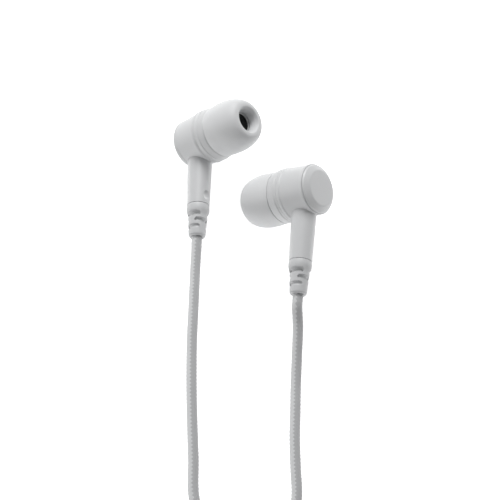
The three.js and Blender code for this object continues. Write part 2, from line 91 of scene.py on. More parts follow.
# Backlit white acrylic: its own light drowns the shadows that lie on it.
table_finish, tree, shader = start_material(
    "backlit_white_acrylic", Roughness=0.6, Emission_Color=colour("ffffff"), Emission_Strength=0.68,
)
cloud_size = 300
cloud = add_node(tree, "ShaderNodeTexNoise", {"Scale": 1 / (cloud_size * mm), "Detail": 1.0})
tint = add_node(tree, "ShaderNodeMix", {"A": colour("eeeeee"), "B": colour("f3f3f3")},
                {"Factor": cloud.outputs["Fac"]}, data_type="RGBA")
tree.links.new(tint.outputs["Result"], shader.inputs["Base Color"])
table_half = 3000
table_drop = 0.05
table_mesh = bpy.data.meshes.new("table")
table_signs = ((-1, -1), (1, -1), (1, 1), (-1, 1))
table_corners = [(x * table_half, y * table_half, -table_drop) for x, y in table_signs]
table_mesh.from_pydata([Vector(corner) * mm for corner in table_corners], [], [(0, 1, 2, 3)])
table_mesh.materials.append(table_finish)
table = bpy.data.objects.new("table", table_mesh)
bpy.context.collection.objects.link(table)

world = bpy.data.worlds.new("studio")
world.use_nodes = True
world.node_tree.nodes["Background"].inputs["Color"].default_value = colour("ffffff")
world.node_tree.nodes["Background"].inputs["Strength"].default_value = 0.29
scene.world = world
# Name, size, power in watts, place and target of each soft light, in metres
soft_lights = [
    ("overhead_softbox", 0.3, 4.1, (-0.02, 0.4, 0.56), (0, 0, 0)),
    ("left_softbox", 0.3, 0.6, (-0.6, -0.1, 0.3), (0, -0.02, 0)),
]
for name, size, power, place, target in soft_lights:
    lamp = bpy.data.lights.new(name, "AREA")
    lamp.size = size
    lamp.energy = power
    light = bpy.data.objects.new(name, lamp)
    light.location = place
    light.rotation_euler = (Vector(target) - Vector(place)).to_track_quat("-Z", "Y").to_euler()
    bpy.context.collection.objects.link(light)


# ---------------------------------------------------------------- braided cords
# Two thin branch cords run from the earbuds to the splitter, and a thicker one from there to
# the plug. Each is a braided jacket of polyester yarn over soft insulated strands. The unseen
# length is wound into a hank, a racetrack of stacked laps with the splitter in its middle.
def smooth_route(points, step):
    """Ring centres about a fixed step apart, on a smooth curve through the given points."""
    knots = np.array(points, float)
    knots = np.vstack([2 * knots[0] - knots[1], knots, 2 * knots[-1] - knots[-2]])
    pieces = []
    for p0, p1, p2, p3 in zip(knots, knots[1:], knots[2:], knots[3:]):
        t0 = 0.0
        t1 = t0 + sqrt(np.linalg.norm(p1 - p0))
        t2 = t1 + sqrt(np.linalg.norm(p2 - p1))
        t3 = t2 + sqrt(np.linalg.norm(p3 - p2))
        t = np.linspace(t1, t2, 49)[:-1, None]
        a1 = ((t1 - t) * p0 + (t - t0) * p1) / (t1 - t0)
        a2 = ((t2 - t) * p1 + (t - t1) * p2) / (t2 - t1)
        a3 = ((t3 - t) * p2 + (t - t2) * p3) / (t3 - t2)
        b1 = ((t2 - t) * a1 + (t - t0) * a2) / (t2 - t0)
        b2 = ((t3 - t) * a2 + (t - t1) * a3) / (t3 - t1)
        pieces.append(((t2 - t) * b1 + (t - t1) * b2) / (t2 - t1))
    curve = np.vstack([*pieces, knots[-2:-1]])
    run = np.concatenate([[0], np.cumsum(np.linalg.norm(np.diff(curve, axis=0), axis=1))])
    marks = np.linspace(0, run[-1], round(run[-1] / step) + 1)
    return np.column_stack([np.interp(marks, run, curve[:, axis]) for axis in range(3)])


def mesh_piece(name, vertices, faces):
    """New object with a mesh given in millimetres, sharp only where faces meet at a steep angle."""
    mesh = bpy.data.meshes.new(name)
    mesh.from_pydata((np.array(vertices, float) * mm).tolist(), [], faces)
    mesh.shade_smooth()
    mesh.set_sharp_from_angle(angle=radians(35))
    piece = bpy.data.objects.new(name, mesh)
    bpy.context.collection.objects.link(piece)
    return piece


def fit_piece(piece, body, finish, slot, *nodes):
    """Gives a finished piece its material and its body, and hides the nodes it stands for. The slot
    argument is not used.
    """
    piece.data.materials.clear()
    piece.data.materials.append(finish)
    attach(piece, body)
    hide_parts(*nodes)


def braided_tube(name, centres, step, radius, strands, pitch, samples=6, relief=0.11):
    """Tube whose surface is woven: each diamond is the strand that runs over the other one."""
    sides = strands * samples
    tangents = np.gradient(centres, axis=0)
    tangents /= np.linalg.norm(tangents, axis=1)[:, None]
    across = np.cross(tangents[0], (0.0, 0.0, 1.0) if abs(tangents[0][2]) < 0.9 else (1.0, 0.0, 0.0))
    normals = []
    for tangent in tangents:
        across = across - tangent * across.dot(tangent)
        across = across / np.linalg.norm(across)
        normals.append(across)
    normals = np.array(normals)
    binormals = np.cross(tangents, normals)
    u = np.arange(sides)[None, :] / samples
    v = np.arange(len(centres))[:, None] * step / pitch
    rising, falling = u + v, u - v
    over = (np.floor(rising) + np.floor(falling)) % 2 == 0
    width = np.where(over, rising % 1, falling % 1)
    length = np.where(over, falling % 1, rising % 1)
    height = np.sin(pi * width) * (0.5 + 0.5 * np.sin(pi * length))
    reach = (radius - relief + relief * height)[..., None]
    turn = 2 * pi * np.arange(sides)[None, :, None] / sides
    rings = centres[:, None] + reach * (np.cos(turn) * normals[:, None] + np.sin(turn) * binormals[:, None])
    faces = []
    for ring in range(len(centres) - 1):
        low, high = ring * sides, (ring + 1) * sides
        faces += [(low + i, low + (i + 1) % sides, high + (i + 1) % sides, high + i) for i in range(sides)]
    last = (len(centres) - 1) * sides
    faces += [tuple(range(sides))[::-1], tuple(range(last, last + sides))]
    piece = mesh_piece(name, rings.reshape(-1, 3), faces)
    corners = np.zeros((len(piece.data.loops), 2))
    walls = (len(centres) - 1) * sides
    ring_of, side_of = np.divmod(np.arange(walls), sides)
    corners[:walls * 4:4] = np.column_stack([side_of, ring_of])
    corners[1:walls * 4:4] = np.column_stack([side_of + 1, ring_of])
    corners[2:walls * 4:4] = np.column_stack([side_of + 1, ring_of + 1])
    corners[3:walls * 4:4] = np.column_stack([side_of, ring_of + 1])
    corners *= (1 / samples, step / pitch)
    piece.data.uv_layers.new(name="weave").data.foreach_set("uv", corners.ravel())
    return piece


def braid_finish(name, light, shade, strands, painted_shade_phase=0.0):
    """Braided polyester yarn: matt, slightly fuzzy, with fine filaments along each strand. Its darker
    tone is also painted shade, mixed in on one half of the braid's round by the last argument's phase."""
    material, tree, shader = start_material(
        name, Roughness=0.82, IOR=1.5, Sheen_Weight=0.25, Sheen_Roughness=0.5, Specular_IOR_Level=0.35,
    )
    uv = add_node(tree, "ShaderNodeUVMap", uv_map="weave")
    split = add_node(tree, "ShaderNodeSeparateXYZ", links={0: uv.outputs[0]})
    x, y = split.outputs[0], split.outputs[1]
    rising = add_node(tree, "ShaderNodeMath", links={0: x, 1: y}, operation="ADD").outputs[0]
    falling = add_node(tree, "ShaderNodeMath", links={0: x, 1: y}, operation="SUBTRACT").outputs[0]
    floors = [add_node(tree, "ShaderNodeMath", links={0: way}, operation="FLOOR").outputs[0]
              for way in (rising, falling)]
    total = add_node(tree, "ShaderNodeMath", links={0: floors[0], 1: floors[1]}, operation="ADD").outputs[0]
    over = add_node(tree, "ShaderNodeMath", {1: 2.0}, {0: total}, operation="FLOORED_MODULO").outputs[0]
    strand = add_node(tree, "ShaderNodeMix",
                      links={"Factor": over, "A": rising, "B": falling}).outputs["Result"]
    filaments = 5  # drawn coarser than real ones so that they show
    phase = add_node(tree, "ShaderNodeMath", {1: 2 * pi * filaments}, {0: strand},
                     operation="MULTIPLY").outputs[0]
    wave = add_node(tree, "ShaderNodeMath", links={0: phase}, operation="SINE").outputs[0]
    place = add_node(tree, "ShaderNodeTexCoord").outputs["Object"]
    fuzz = add_node(tree, "ShaderNodeTexNoise", {"Scale": 1 / (0.35 * mm), "Detail": 3.0},
                    {"Vector": place})
    mottle = add_node(tree, "ShaderNodeTexNoise", {"Scale": 1 / (4 * mm), "Detail": 2.0}, {"Vector": place})
    shares = add_node(tree, "ShaderNodeMath", {1: 0.5}, {0: mottle.outputs["Fac"]},
                      operation="MULTIPLY").outputs[0]
    blend = add_node(tree, "ShaderNodeMath", {1: 0.12}, {0: over, 2: shares},
                     operation="MULTIPLY_ADD").outputs[0]
    # Painted shade: the darker tone is mixed in on one half of the braid's round, turned by the phase so
    # that this half lies away from the light in the camera's view.
    painted_shade_angle = add_node(tree, "ShaderNodeMath", {1: pi / strands, 2: painted_shade_phase}, {0: total},
                      operation="MULTIPLY_ADD").outputs[0]
    side = add_node(tree, "ShaderNodeMath", links={0: painted_shade_angle}, operation="SINE").outputs[0]
    dark = add_node(tree, "ShaderNodeMapRange", {"From Min": -0.1, "From Max": 0.1, "To Max": 0.7},
                    {"Value": side}).outputs[0]
    blend = add_node(tree, "ShaderNodeMath", {1: 0.3}, {0: blend, 2: dark},
                     operation="MULTIPLY_ADD").outputs[0]
    tone = add_node(tree, "ShaderNodeMix", {"A": colour(light), "B": colour(shade)}, {"Factor": blend},
                    data_type="RGBA")
    tree.links.new(tone.outputs["Result"], shader.inputs["Base Color"])
    height = add_node(tree, "ShaderNodeMath", {1: 0.5}, {0: wave, 2: fuzz.outputs["Fac"]},
                      operation="MULTIPLY_ADD").outputs[0]
    bump = add_node(tree, "ShaderNodeBump", {"Strength": 0.35, "Distance": 0.03 * mm}, {"Height": height})
    tree.links.new(bump.outputs[0], shader.inputs["Normal"])
    return material


hank_y, hank_run = -168.0, 48.0
tie_lift = 1.0  # how far the hank's strands are lifted by the wall of the tie under them


def wound(stages, parts=8):
    """Points along the hank's laps. A stage is a phase, a bend radius and a height; phases 0 to 4
    go down the right side, round the lower bend, up the left side and round the upper bend."""
    phases, radii, heights = zip(*stages)
    points = []
    for phase in np.arange(phases[0], phases[-1] + 1e-6, 1 / parts):
        radius = np.interp(phase, phases, radii)
        side, part = divmod(phase + 1e-9, 1)
        half, sign = hank_run / 2, 1 if side % 4 in (0, 3) else -1
        if side % 2:
            x, y = -sign * radius * cos(part * pi), hank_y + sign * (half + radius * sin(part * pi))
        else:
            x, y = sign * radius, hank_y + sign * (half - part * hank_run)
        lift = tie_lift * np.clip((18 - abs(y - hank_y)) / 12, 0, 1)
        points.append((x, y, np.interp(phase, phases, heights) + lift))
    return points


def arc(centre_x, centre_y, radius, angles, heights):
    """Points on a flat arc, one for each angle in degrees, with their heights."""
    return [(centre_x + radius * cos(radians(a)), centre_y + radius * sin(radians(a)), z)
            for a, z in zip(angles, heights)]


# Where each earbud lies, about its own axes: x comes out of the ear tip, z runs up the stem
buds = {
    "left": {"place": (-12.5, 19.4, 6.95), "heading": 1.6, "slope": 9.5, "turn": 44.7},
    "right": {"place": (12.5, -0.7, 13.75), "heading": 4.7, "slope": 12.6, "turn": -141.5},
}
for bud in buds.values():
    bud["matrix"] = (
        Matrix.Translation(bud["place"])
        @ Matrix.Rotation(radians(-bud["heading"]), 4, "Z")
        @ Matrix.Rotation(radians(bud["slope"] - 90), 4, "X")
        @ Matrix.Rotation(radians(-bud["turn"]), 4, "Z")
    )
relief_end = -25.8  # lower end of the strain relief, down the stem's axis

branch_radius, main_radius = 1.25, 1.4
branch_step, branch_pitch, branch_strands = 0.25, 1.0, 8
main_step, main_pitch, main_strands = 0.3, 1.2, 8
# The darker tone of each cord is its weave and mottle tone, and also painted shade on one half of its
# round.
cord_finish = braid_finish("braided_polyester_branch", "cbcccd", "a2a3a4", branch_strands, 0.2 - pi / 2)
main_cord_finish = braid_finish("braided_polyester_main", "c9cacb", "a0a1a2", main_strands, 0.2 - pi / 2)
routes = {
    "left": [
        (-13.5, -13.4, 1.5), (-13.6, -17.4, 1.3), (-13.8, -25.6, 1.3), (-14.0, -34.3, 1.3),
        (-13.9, -46.3, 1.3), (-13.6, -55.4, 1.3), (-13.2, -64.5, 1.3), (-12.8, -74.9, 1.3),
        (-9.8, -83.4, 1.3), (-4.6, -90.4, 1.8), (-1.7, -95.5, 2.4), (-1.7, -99.0, 2.4),
        (-1.7, -108.5, 2.4), (-1.7, -118.0, 2.4), (-1.7, -124.5, 2.3), (-1.0, -128.0, 1.9),
        (4.6, -131.4, 1.4), (9.2, -135.2, 1.2), (11.9, -140.2, 1.2),
        *wound([(0, 12.5, 1.2), (3, 12.5, 1.2), (4, 9.6, 1.2), (7, 9.6, 1.2)]),
        *arc(-3.5, -144, 6.1, (135, 90, 45, 0), (1.2, 1.2, 1.2, 1.2)),
        (1.6, -148.0, 1.8), (-0.6, -152.2, 2.9), (-1.7, -156.5, 3.6), (-1.7, -162.0, 3.6),
    ],
    "right": [
        (10.4, -32.5, 5.0), (10.1, -39.4, 2.6), (9.8, -45.9, 1.4), (9.6, -52.9, 1.3),
        (9.4, -59.4, 1.3), (9.5, -66.8, 1.3), (9.6, -74.9, 1.3), (7.5, -83.4, 1.3),
        (3.4, -90.4, 1.8), (1.7, -95.5, 2.4), (1.7, -99.0, 2.4), (1.7, -108.5, 2.4),
        (1.7, -118.0, 2.4), (1.7, -124.0, 2.4), (3.0, -127.2, 2.8), (6.2, -130.0, 3.3),
        (9.7, -134.6, 3.6), (12.0, -140.0, 3.6),
        *wound([(0, 12.5, 3.6), (3, 12.5, 3.6), (4, 9.6, 3.6), (7, 9.6, 3.6)]),
        *arc(-2.5, -144, 7.1, (135, 90, 45, 0), (3.6, 3.6, 3.6, 3.6)),
        (4.2, -148.0, 3.6), (2.6, -152.5, 3.6), (1.7, -156.5, 3.6), (1.7, -162.0, 3.6),
    ],
}
main_route = [
    (0, -173.5, 3.6), (0, -177.0, 3.6), (0, -180.5, 3.6), (0.9, -184.5, 3.8), (2.1, -188.5, 4.2),
    *arc(-3.6, -192, 6.0, (0, -45, -90, -135), (4.8, 5.5, 6.0, 6.3)),
    *wound([
        (2, 9.6, 6.3), (5, 9.6, 6.3), (6, 12.5, 6.3), (9, 12.5, 6.3), (9.4, 13.7, 6.45),
        (9.75, 14.7, 5.6), (10, 15.4, 4.2), (11, 15.4, 4.2), (11.35, 15.4, 6.1), (12, 15.4, 6.1),
        (12.3, 15.4, 4.2), (13.4, 15.4, 4.2), (13.5, 15.4, 3.9), (13.75, 15.4, 1.7), (14, 15.4, 1.4),
        (15, 15.4, 1.4), (15.2, 17.0, 2.6), (15.42, 18.2, 5.6), (15.8, 18.2, 5.8), (16, 18.2, 5.0),
        (16.15, 17.6, 2.6), (16.4, 15.4, 1.4), (17.25, 15.4, 1.4),
    ]),
    (4.9, -206.6, 1.4), (0, -208.0, 1.4), (-6, -208.3, 1.4), (-12, -208.2, 1.4), (-17, -207.4, 1.5),
    (-20.8, -204.6, 1.9), (-22.5, -200.0, 2.6), (-22.6, -195.0, 3.2), (-22.6, -190.5, 3.6),
    (-22.6, -187.3, 3.6),
]
cords = {}
for side, route in routes.items():
    exits = [bud_point for bud_point in (
        buds[side]["matrix"] @ Vector((0, 0, relief_end - drop)) for drop in (0, 1.2, 2.8)
    )]
    centres = smooth_route([*exits, *route], branch_step)
    cords[side] = braided_tube(
        f"{side}_braided_cord", centres, branch_step, branch_radius, branch_strands, branch_pitch,
    )
    fit_piece(cords[side], "earphones", cord_finish, "cord_braid", f"{side}_cord", f"{side}_cord_end")
    cords[side + "_path"] = centres * mm
centres = smooth_route(main_route, main_step)
cords["main"] = braided_tube(
    "main_braided_cord", centres, main_step, main_radius, main_strands, main_pitch, samples=5, relief=0.13,
)
fit_piece(cords["main"], "earphones", main_cord_finish, "cord_braid", "cord_hank", "main_cord_end",
          "plug_cord")
cords["main_path"] = centres * mm

# ---------------------------------------------------------------- ear tips
# An ear tip is one piece of soft silicone, moulded as a thin dome on a thicker tube that grips
# the nozzle. It stretches over the bead on the nozzle's end and pulls off the same way.
def quarter(start, end, steps, flat_first):
    """Outline of a quarter ellipse after start and up to end, as [along, radius, rounding]."""
    corners = []
    for angle in np.linspace(0, pi / 2, steps + 1)[1:]:
        slow, fast = 1 - cos(angle), sin(angle)
        u, v = (fast, slow) if flat_first else (slow, fast)
        corners.append((start[0] + (end[0] - start[0]) * u, start[1] + (end[1] - start[1]) * v, 0))
    return corners


def rounded(corners, closed, steps=5):
    """Outline with each [along, radius, rounding] corner rounded by its own radius."""
    outline = []
    for i, (along, radius, rounding) in enumerate(corners):
        here = Vector((along, radius))
        if rounding == 0 or not closed and i in (0, len(corners) - 1):
            outline.append(here)
            continue
        before = Vector(corners[i - 1][:2]) - here
        after = Vector(corners[(i + 1) % len(corners)][:2]) - here
        half = before.angle(after) / 2
        reach = min(rounding / tan(half), 0.45 * before.length, 0.45 * after.length)
        centre = here + (before.normalized() + after.normalized()).normalized() * reach / cos(half)
        start = here + before.normalized() * reach - centre
        sweep = start.angle_signed(here + after.normalized() * reach - centre)
        outline += [centre + Matrix.Rotation(-sweep * k / steps, 2) @ start for k in range(steps + 1)]
    return outline


def loft(rings, closed):
    """Vertices and faces of a skin over rings of equally many points, closed into a loop or capped."""
    sides = len(rings[0])
    faces = []
    for ring in range(len(rings) if closed else len(rings) - 1):
        low, high = ring * sides, (ring + 1) % len(rings) * sides
        faces += [(low + i, low + (i + 1) % sides, high + (i + 1) % sides, high + i) for i in range(sides)]
    if not closed:
        last = (len(rings) - 1) * sides
        faces += [tuple(range(sides))[::-1], tuple(range(last, last + sides))]
    return np.concatenate(rings), faces


def turned(corners, axis="x", sides=96):
    """Shape turned about an axis. An outline that ends on the axis is capped there, others are rings."""
    closed = corners[0][1] > 0 or corners[-1][1] > 0
    angles = 2 * pi * np.arange(sides) / sides
    shift = {"x": 0, "y": 1, "z": 2}[axis]
    rings = []
    for along, radius in rounded(corners, closed):
        if radius > 1e-6:
            across = radius * np.cos(angles), radius * np.sin(angles)
            ring = np.column_stack([np.full(sides, along), *across])
            rings.append(np.roll(ring, shift, axis=1))
    return loft(rings, closed)


def solid_piece(name, *shapes, matrix=None):
    """One object from several closed shapes, placed by a matrix, with all faces outwards."""
    vertices, faces, count = [], [], 0
    for points, polygons in shapes:
        vertices += [matrix @ Vector(p) if matrix else Vector(p) for p in points]
        faces += [tuple(i + count for i in polygon) for polygon in polygons]
        count = len(vertices)
    piece = mesh_piece(name, vertices, faces)
    shell = bmesh.new()
    shell.from_mesh(piece.data)
    bmesh.ops.recalc_face_normals(shell, faces=shell.faces)
    shell.to_mesh(piece.data)
    shell.free()
    return piece


# Silicone: soft satin skin, a little light passes through it, and dust gives it a faint mottle
silicone, tree, shader = start_material(
    "moulded_silicone", Roughness=0.5, IOR=1.41, Subsurface_Weight=0.12, Subsurface_Scale=0.6 * mm,
    Subsurface_Radius=(1.0, 1.0, 1.0), Specular_IOR_Level=0.4,
)


def add_skin(tree, shader, light, dark, mottle, grain, depth, gloss=(0.0, 0.0)):
    """Colour that drifts between two tones, and a fine moulded grain, both sized in millimetres."""
    place = add_node(tree, "ShaderNodeTexCoord").outputs["Object"]
    drift = add_node(tree, "ShaderNodeTexNoise", {"Scale": 1 / (mottle * mm), "Detail": 3.0},
                     {"Vector": place})
    tone = add_node(tree, "ShaderNodeMix", {"A": colour(light), "B": colour(dark)},
                    {"Factor": drift.outputs["Fac"]}, data_type="RGBA")
    tree.links.new(tone.outputs["Result"], shader.inputs["Base Color"])
    texture = add_node(tree, "ShaderNodeTexNoise", {"Scale": 1 / (grain * mm), "Detail": 2.0},
                       {"Vector": place})
    bump = add_node(tree, "ShaderNodeBump", {"Strength": 0.5, "Distance": depth * mm},
                    {"Height": texture.outputs["Fac"]})
    tree.links.new(bump.outputs[0], shader.inputs["Normal"])
    if gloss[1] > gloss[0]:
        rough = add_node(tree, "ShaderNodeMapRange", {"To Min": gloss[0], "To Max": gloss[1]},
                         {"Value": drift.outputs["Fac"]})
        tree.links.new(rough.outputs[0], shader.inputs["Roughness"])
    return drift, texture


add_skin(tree, shader, "d2d3d4", "cdcecf", mottle=3.0, grain=0.25, depth=0.004, gloss=(0.44, 0.56))
tip_outline = [
    (7.02, 6.24, 0.15), (9.38, 6.42, 0.2), (9.45, 6.39, 0.05), (9.52, 6.43, 0.1), (10.6, 6.45, 0),
    *quarter((10.6, 6.45), (16.5, 3.8), 28, True), (16.5, 3.3, 0.6), (15.7, 2.9, 0.6),
    (14.15, 2.5, 0.08), (14.15, 3.2, 0.1), (8.7, 3.2, 0.2), (8.7, 3.9, 0.2), (13.3, 3.9, 0.6),
    (14.5, 4.4, 0.3), *quarter((14.5, 4.4), (10.2, 5.9), 12, False), (7.02, 5.66, 0.15),
]
for side, bud in buds.items():
    tip = solid_piece(f"{side}_silicone_tip", turned(tip_outline, sides=128), matrix=bud["matrix"])
    fit_piece(tip, f"{side}_tip", silicone, "ear_tip_silicone", f"{side}_ear_tip")

# ---------------------------------------------------------------- housings and rear caps
# The head is a barrel of two moulded ABS halves and a rear cap, glued on stepped joints. The
# front half carries two shallow ring steps, the neck and the nozzle.
abs_shell, tree, shader = start_material("matt_moulded_abs", Roughness=0.48, IOR=1.53,
                                         Specular_IOR_Level=0.45)
add_skin(tree, shader, "cccdce", "c7c8c9", mottle=6.0, grain=0.18, depth=0.006, gloss=(0.42, 0.52))
cap_outline = [
    (-4.72, 0, 0), (-4.72, 4.3, 0.9), (-3.85, 5.6, 0.5), (-3.46, 5.86, 0.1), (-3.4, 5.78, 0.03),
    (-3.4, 4.8, 0.05), (-2.0, 4.8, 0.1), (-2.0, 4.1, 0.1), (-3.6, 3.6, 0.3), (-3.6, 0, 0),
]
rear_outline = [
    (-3.34, 5.1, 0.05), (-3.34, 5.92, 0.08), (-3.18, 6.08, 0.12), (-2.62, 6.1, 0.12),
    (-2.48, 6.04, 0.05), (2.9, 6.42, 0.15), (3.1, 6.56, 0.12), (3.6, 6.56, 0.12), (3.8, 6.44, 0.05),
    (3.98, 6.44, 0.03), (3.98, 5.6, 0.05),
]
front_outline = [
    (4.02, 6.44, 0.02), (4.6, 6.42, 0.05), (4.75, 6.53, 0.1), (5.05, 6.53, 0.1), (5.25, 6.4, 0.05),
    (6.6, 6.3, 0.5), (6.99, 6.06, 0.15), (6.99, 5.2, 0.05), (7.6, 5.2, 0),
    *quarter((7.6, 5.2), (8.4, 4.4), 6, True), (8.4, 2.6, 0.2), (13.2, 2.6, 0.02), (13.2, 2.9, 0.15),
    (13.9, 2.9, 0.2), (13.9, 2.4, 0.05), (13.2, 2.4, 0.02), (13.2, 2.0, 0.05), (8.2, 2.0, 0.3),
    (7.4, 4.4, 0.3), (6.0, 4.4, 0.1), (6.0, 5.2, 0.1), (4.02, 5.2, 0.05),
]
saddle_play = 0.06  # open seam between the stem and the housing
spigot_radius = 2.35


def cut_from(piece, *tools):
    """Takes the tools away from a piece, and keeps its edges crisp."""
    for tool in tools:
        modifier = piece.modifiers.new("cut", "BOOLEAN")
        modifier.operation = "DIFFERENCE"
        modifier.solver = "EXACT"
        modifier.object = tool
    shape = bpy.data.meshes.new_from_object(piece.evaluated_get(bpy.context.evaluated_depsgraph_get()))
    piece.modifiers.clear()
    piece.data = shape
    shape.shade_smooth()
    shape.set_sharp_from_angle(angle=radians(35))
    for tool in tools:
        bpy.data.objects.remove(tool)


for side, bud in buds.items():
    cap = solid_piece(f"{side}_rear_cap_disc", turned(cap_outline, sides=128), matrix=bud["matrix"])
    fit_piece(cap, "earphones", abs_shell, "rear_cap", f"{side}_rear_cap")
    barrel = solid_piece(f"{side}_rear_barrel", turned(rear_outline, sides=128), matrix=bud["matrix"])
    hole = [(-8, 0, 0), (-8, spigot_radius + 0.1, 0), (-3, spigot_radius + 0.1, 0), (-3, 0, 0)]
    cut_from(barrel, solid_piece("spigot_hole", turned(hole, "z", 64), matrix=bud["matrix"]))
    fit_piece(barrel, "earphones", abs_shell, "housing", f"{side}_rear_housing")
    front = solid_piece(f"{side}_front_shell", turned(front_outline, sides=128), matrix=bud["matrix"])
    fit_piece(front, "earphones", abs_shell, "housing", f"{side}_front_housing")

# ---------------------------------------------------------------- stems
# A stem is a tapered moulded tube, polished to a satin shine. Its top is cut to the round of the
# housing, a spigot fixes it there, and a finger dimple is pressed in near its foot.
stem_gloss, tree, shader = start_material("satin_moulded_abs", IOR=1.53, Roughness=0.3,
                                          Specular_IOR_Level=0.5)
add_skin(tree, shader, "cbcccd", "c7c8c9", mottle=5.0, grain=0.5, depth=0.003, gloss=(0.26, 0.34))
stem_top_radius, stem_radius, stem_foot, stem_bore = 3.0, 2.72, -17.6, 1.9
stem_sides, stem_rows = 144, 90


def stem_shape():
    angles = 2 * pi * np.arange(stem_sides) / stem_sides
    ways = np.column_stack([np.cos(angles), np.sin(angles)])

    def ring(radius, height):
        return np.column_stack([radius * ways, np.broadcast_to(height, stem_sides)])

    def saddle(radius):
        barrel = 6.06 + 0.075 * radius * ways[:, 0] + saddle_play
        return -np.sqrt(barrel ** 2 - (radius * ways[:, 1]) ** 2)

    rings = [ring(stem_bore, -5.0), ring(spigot_radius, -5.0), ring(spigot_radius, saddle(spigot_radius))]
    edge = 0.04
    top = saddle(stem_top_radius - 0.01)
    rings.append(ring(stem_top_radius - edge - 0.01, saddle(stem_top_radius - edge - 0.01)))
    for share in np.linspace(0, 1, stem_rows):
        height = (top - edge) * (1 - share) + (stem_foot + edge) * share
        radius = stem_top_radius + (stem_radius - stem_top_radius) * (-5 - height) / (-5 - stem_foot)
        wall = np.column_stack([radius[:, None] * ways, height])
        dimple_x, dimple_z, dimple_sphere = 4.39, -15.5, 2.0
        inside = dimple_sphere ** 2 - wall[:, 1] ** 2 - (wall[:, 2] - dimple_z) ** 2
        pressed = dimple_x - np.sqrt(np.maximum(inside, 0))
        wall[:, 0] = np.where((inside > 0) & (wall[:, 0] > pressed), pressed, wall[:, 0])
        rings.append(wall)
    rings += [ring(stem_radius - edge, stem_foot), ring(stem_bore, stem_foot)]
    return loft(rings, closed=True)


for side, bud in buds.items():
    stem = solid_piece(f"{side}_tapered_stem", stem_shape(), matrix=bud["matrix"])
    fit_piece(stem, "earphones", stem_gloss, "stem", f"{side}_stem")

# ---------------------------------------------------------------- strain reliefs
# A strain relief is moulded thermoplastic rubber: a collar on the stem, then a tapered sleeve
# with pairs of cross slots, each pair a quarter turn on, so that it bends evenly with the cord.
rubber, tree, shader = start_material("moulded_rubber", Roughness=0.5, IOR=1.5, Specular_IOR_Level=0.4)
add_skin(tree, shader, "c6c7c8", "c0c1c2", mottle=3.0, grain=0.15, depth=0.005, gloss=(0.44, 0.54))
relief_outline = [
    (-14.9, 1.2, 0.05), (-14.9, 1.6, 0.1), (-17.63, 1.6, 0.02), (-17.63, 2.62, 0.06), (-18.0, 2.68, 0),
    (-18.5, 2.74, 0), (-19.0, 2.75, 0), (-19.5, 2.66, 0), (-20.0, 2.48, 0), (-20.4, 2.36, 0),
    (-20.9, 2.31, 0), (-21.4, 2.3, 0), (-22.2, 2.24, 0), (-23.0, 2.2, 0), (-24.0, 2.14, 0),
    (-24.9, 2.08, 0), (-25.5, 2.02, 0.3), (-25.8, 1.75, 0.25), (-25.8, 1.22, 0.08),
]
slot_levels = (-20.4, -22.02, -23.65)
slot_height, slot_floor, slot_angle = 0.9, 1.72, 126


def slot_cutter(level, middle):
    """Part of a ring with rounded ends and edges, across the sleeve at a level."""
    soft = 0.28
    half = slot_height / 2
    section = [Vector((p[1], p[0])) for p in rounded([
        (-half, slot_floor, soft), (half, slot_floor, soft), (half + 0.55, 3.4, 0), (-half - 0.15, 3.4, 0),
    ], True, 4)]
    rings = []
    for share in np.linspace(-1, 1, 25):
        angle = radians(middle + share * slot_angle / 2)
        pinch = sqrt(max(1 - abs(share) ** 10, 0.02))
        rings.append(np.array([
            ((r * cos(angle)), (r * sin(angle)), level + h * pinch) for r, h in section
        ]))
    return loft(rings, closed=False)


for side, bud in buds.items():
    sleeve = solid_piece(f"{side}_slotted_relief", turned(relief_outline, "z", 112), matrix=bud["matrix"])
    slots = [
        solid_piece("slot", slot_cutter(level, 90 * (number + 1) + half_turn), matrix=bud["matrix"])
        for number, level in enumerate(slot_levels) for half_turn in (0, 180)
    ]
    cut_from(sleeve, *slots)
    fit_piece(sleeve, "earphones", rubber, "relief_rubber", f"{side}_strain_relief")


# ---------------------------------------------------------------- nozzle grilles
# A grille of etched steel, painted black, sits in the mouth of each nozzle over acoustic cloth.
# It is a honeycomb of thin bars in a flat ring, and keeps earwax away from the driver.
grille_tree = bpy.data.node_groups.new("honeycomb_grille", "GeometryNodeTree")
sizes = {"Radius": 2.2, "Pitch": 0.42, "Bar": 0.1}
for name in sizes:
    grille_tree.interface.new_socket(name=name, in_out="INPUT", socket_type="NodeSocketFloat")
grille_tree.interface.new_socket(name="Finish", in_out="INPUT", socket_type="NodeSocketMaterial")
grille_tree.interface.new_socket(name="Geometry", in_out="OUTPUT", socket_type="NodeSocketGeometry")
given = add_node(grille_tree, "NodeGroupInput").outputs
cells = 13  # rows and columns before the corners are cut off
spread = add_node(grille_tree, "ShaderNodeMath", {1: cells - 1.0}, {0: given["Pitch"]},
                  operation="MULTIPLY")
rows = add_node(grille_tree, "ShaderNodeMath", {1: sqrt(3) / 2}, {0: spread.outputs[0]},
                operation="MULTIPLY")
grid = add_node(grille_tree, "GeometryNodeMeshGrid", {"Vertices X": cells, "Vertices Y": cells},
                {"Size X": spread.outputs[0], "Size Y": rows.outputs[0]})
number = add_node(grille_tree, "GeometryNodeInputIndex")
odd = add_node(grille_tree, "ShaderNodeMath", {1: float(cells)}, {0: number.outputs[0]}, operation="MODULO")
odd = add_node(grille_tree, "ShaderNodeMath", {1: 2.0}, {0: odd.outputs[0]}, operation="MODULO")
half_pitch = add_node(grille_tree, "ShaderNodeMath", {1: 0.5}, {0: given["Pitch"]}, operation="MULTIPLY")
slide = add_node(grille_tree, "ShaderNodeMath", links={0: odd.outputs[0], 1: half_pitch.outputs[0]},
                 operation="MULTIPLY")
offset = add_node(grille_tree, "ShaderNodeCombineXYZ", links={"X": slide.outputs[0]})
